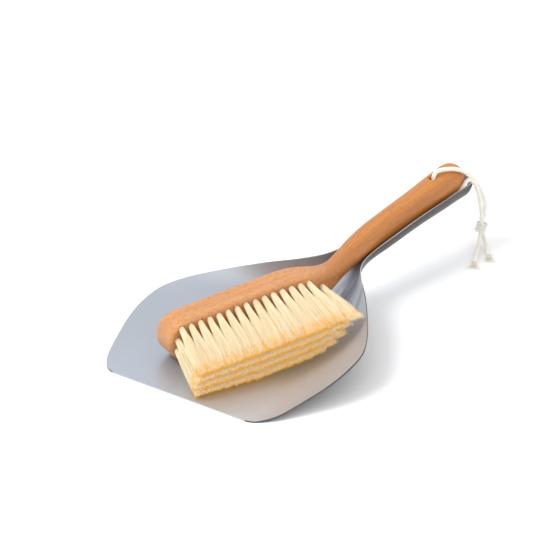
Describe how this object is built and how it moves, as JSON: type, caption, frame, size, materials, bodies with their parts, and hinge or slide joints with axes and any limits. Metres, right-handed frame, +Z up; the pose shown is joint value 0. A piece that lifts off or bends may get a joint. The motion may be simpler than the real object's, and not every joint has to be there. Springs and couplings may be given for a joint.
{
  "type": "dust pan and brush set",
  "caption": "Sheet steel dust pan with a half-round handle, and a wooden hand brush with soft bristles and a hanging cord nested in it.",
  "frame": {"origin": "on the floor, below the middle of the pan's outline", "axes": "+X from the lip to the handle end, +Z up, +Y to the left of someone looking along +X"},
  "size_m": [0.3678, 0.1908, 0.0716],
  "materials": {
    "steel_sheet": "satin",
    "beech": "oiled",
    "bristle": "soft fibre",
    "cotton": "twisted cotton"
  },
  "bodies": {
    "pan": {"dustpan_sheet": "steel_sheet"},
    "brush": {"brush_body": "beech", "bristle_row_1": "bristle", "bristle_row_2": "bristle", "bristle_row_3": "bristle", "bristle_row_4": "bristle", "cord_over_handle": "cotton", "cord_under_handle": "cotton", "cord_knot": "cotton", "cord_left_tail": "cotton", "cord_right_tail": "cotton", "cord_left_fray": "cotton", "cord_right_fray": "cotton"}
  },
  "joints": [
    {"name": "brush_lift", "type": "slide", "parent": "pan", "child": "brush", "axis": [0, 0, 1], "range_m": [0, 0.15]}
  ]
}
